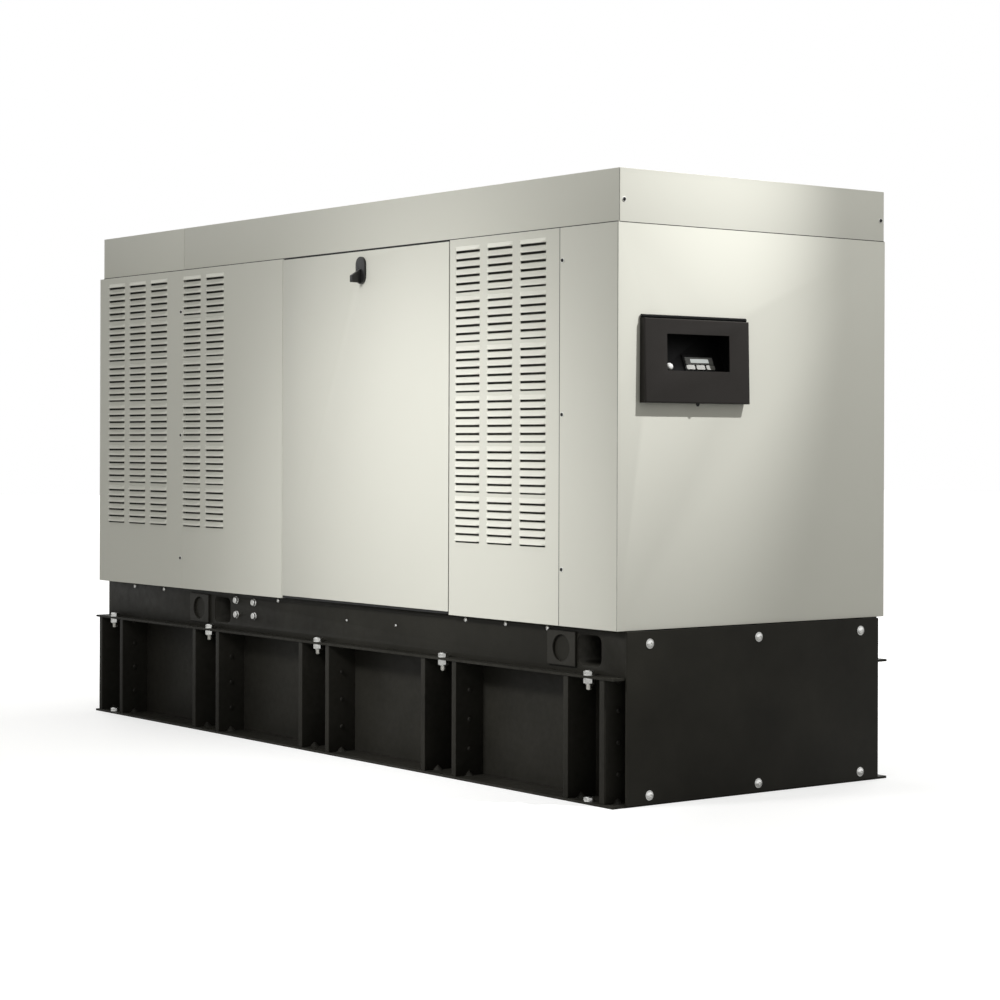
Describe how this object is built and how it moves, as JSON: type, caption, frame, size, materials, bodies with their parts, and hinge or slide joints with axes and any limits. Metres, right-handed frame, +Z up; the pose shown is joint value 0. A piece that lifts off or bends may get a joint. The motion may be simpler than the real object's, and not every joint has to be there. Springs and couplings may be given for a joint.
{
  "type": "standby generator set",
  "caption": "Enclosed diesel standby generator with louvred side panels, lift-out doors, a hinged control cover and a base fuel tank with gussets.",
  "frame": {"origin": "on the ground, at the middle of the whole footprint", "axes": "+Z up; +X towards the control end with the stub-up cover; the front long side faces -Y"},
  "size_m": [2.5949, 0.96, 1.501],
  "materials": {
    "enclosure_paint": "satin powder coat",
    "base_paint": "semi-gloss black paint",
    "cover_black": "satin black powder coat",
    "latch_black": "fine grain",
    "panel_black": "satin",
    "key_light": "satin",
    "lamp_white": "gloss",
    "engine_iron": "painted casting",
    "exhaust_iron": "bare casting, heat-browned",
    "engine_paint": "satin",
    "intake_alloy": "as cast",
    "exhaust_steel": "aluminised",
    "pulley_iron": "machined rim",
    "pulley_steel": "turned",
    "fan_plastic": "satin",
    "shroud_black": "satin",
    "belt_rubber": "matte",
    "isolator_rubber": "matte",
    "radiator_alloy": "finned core, satin tanks",
    "cap_steel": "zinc plated",
    "generator_paint": "satin",
    "rotor_steel": "varnished laminations",
    "cleaner_black": "satin",
    "battery_plastic": "grained",
    "breaker_grey": "satin",
    "handle_black": "satin",
    "cap_plastic": "satin"
  },
  "bodies": {
    "enclosure": {"air_cleaner": "cleaner_black", "battery": "battery_plastic", "charge_alternator": "intake_alloy", "control_box": "panel_black", "control_end_panel": "enclosure_paint", "control_side_front": "enclosure_paint", "control_side_rear": "enclosure_paint", "cylinder_head": "engine_iron", "door_frame_front": "enclosure_paint", "door_frame_rear": "enclosure_paint", "drive_belt": "belt_rubber", "engine_block": "engine_iron", "engine_crossmember": "base_paint", "exhaust_manifold": "exhaust_iron", "fan_shroud": "shroud_black", "flywheel_housing": "engine_iron", "generator_crossmember": "base_paint", "generator_housing": "generator_paint", "gussets_front": "base_paint", "gussets_rear": "base_paint", "intake_manifold": "intake_alloy", "louvre_panel_front_left": "enclosure_paint", "louvre_panel_front_right": "enclosure_paint", "louvre_panel_rear_left": "enclosure_paint", "louvre_panel_rear_right": "enclosure_paint", "main_breaker": "breaker_grey", "muffler": "exhaust_steel", "oil_pan": "engine_paint", "radiator": "radiator_alloy", "radiator_end_panel": "enclosure_paint", "radiator_side_front": "enclosure_paint", "radiator_side_rear": "enclosure_paint", "roof_end": "enclosure_paint", "roof_main": "enclosure_paint", "skid_rail_front": "base_paint", "skid_rail_rear": "base_paint", "status_lamp": "lamp_white", "stub_up_cover": "base_paint", "tank_bottom_plate": "base_paint", "tank_top_plate": "base_paint", "tank_walls": "base_paint", "valve_cover": "engine_paint", "vibration_isolators": "isolator_rubber"},
    "front_door": {"front_door": "enclosure_paint", "front_latch_body": "latch_black"},
    "rear_door": {"rear_door": "enclosure_paint", "rear_latch_body": "latch_black"},
    "front_latch": {"front_latch_wing": "latch_black"},
    "rear_latch": {"rear_latch_wing": "latch_black"},
    "control_cover": {"control_cover": "cover_black"},
    "key_left": {"key_left": "key_light"},
    "key_middle": {"key_middle": "key_light"},
    "key_right": {"key_right": "key_light"},
    "breaker_handle": {"breaker_handle": "handle_black"},
    "crankshaft": {"crank_pulley": "pulley_iron", "generator_rotor": "rotor_steel"},
    "fan": {"fan": "fan_plastic"},
    "charge_pulley": {"charge_pulley": "pulley_steel"},
    "fuel_cap": {"fuel_cap": "cap_plastic"},
    "radiator_cap": {"radiator_cap": "cap_steel"}
  },
  "joints": [
    {"name": "front_door_tilt", "type": "hinge", "parent": "enclosure", "child": "front_door", "pos_m": [0.2, -0.4445, 0.423], "axis": [1, 0, 0], "range_deg": [0, 35]},
    {"name": "front_latch_turn", "type": "hinge", "parent": "front_door", "child": "front_latch", "pos_m": [0.2, -0.4445, 1.3045], "axis": [0, 1, 0], "range_deg": [0, 90]},
    {"name": "rear_door_tilt", "type": "hinge", "parent": "enclosure", "child": "rear_door", "pos_m": [0.2, 0.4445, 0.423], "axis": [-1, 0, 0], "range_deg": [0, 35]},
    {"name": "rear_latch_turn", "type": "hinge", "parent": "rear_door", "child": "rear_latch", "pos_m": [0.2, 0.4445, 1.3045], "axis": [0, -1, 0], "range_deg": [0, 90]},
    {"name": "control_cover_hinge", "type": "hinge", "parent": "enclosure", "child": "control_cover", "pos_m": [1.2795, -0.2115, 1.1555], "axis": [0, -1, 0], "range_deg": [0, 110]},
    {"name": "key_left_press", "type": "slide", "parent": "enclosure", "child": "key_left", "axis": [-0.9272, 0, -0.3746], "range_m": [0, 0.0015], "stiffness_N_per_m": 400, "springref_m": -0.001},
    {"name": "key_middle_press", "type": "slide", "parent": "enclosure", "child": "key_middle", "axis": [-0.9272, 0, -0.3746], "range_m": [0, 0.0015], "stiffness_N_per_m": 400, "springref_m": -0.001},
    {"name": "key_right_press", "type": "slide", "parent": "enclosure", "child": "key_right", "axis": [-0.9272, 0, -0.3746], "range_m": [0, 0.0015], "stiffness_N_per_m": 400, "springref_m": -0.001},
    {"name": "breaker_handle_throw", "type": "hinge", "parent": "enclosure", "child": "breaker_handle", "pos_m": [0.4725, -0.12, 1.005], "axis": [1, 0, 0], "range_deg": [0, 40]},
    {"name": "crankshaft_spin", "type": "hinge", "parent": "enclosure", "child": "crankshaft", "pos_m": [0.1925, 0, 0.68], "axis": [1, 0, 0], "continuous": true},
    {"name": "fan_spin", "type": "hinge", "parent": "enclosure", "child": "fan", "pos_m": [-0.6175, 0, 0.86], "axis": [1, 0, 0], "continuous": true},
    {"name": "charge_pulley_spin", "type": "hinge", "parent": "enclosure", "child": "charge_pulley", "pos_m": [-0.5785, 0.215, 0.81], "axis": [1, 0, 0], "continuous": true},
    {"name": "fuel_cap_lift", "type": "slide", "parent": "enclosure", "child": "fuel_cap", "axis": [0, 0, 1], "range_m": [0, 0.1]},
    {"name": "radiator_cap_turn", "type": "hinge", "parent": "enclosure", "child": "radiator_cap", "pos_m": [-0.7235, 0.12, 1.255], "axis": [0, 0, 1], "range_deg": [0, 90]}
  ],
  "couplings": [
    {"joint": "fan_spin", "follows": "crankshaft_spin", "ratio": 1.1333},
    {"joint": "charge_pulley_spin", "follows": "crankshaft_spin", "ratio": 2.5}
  ]
}
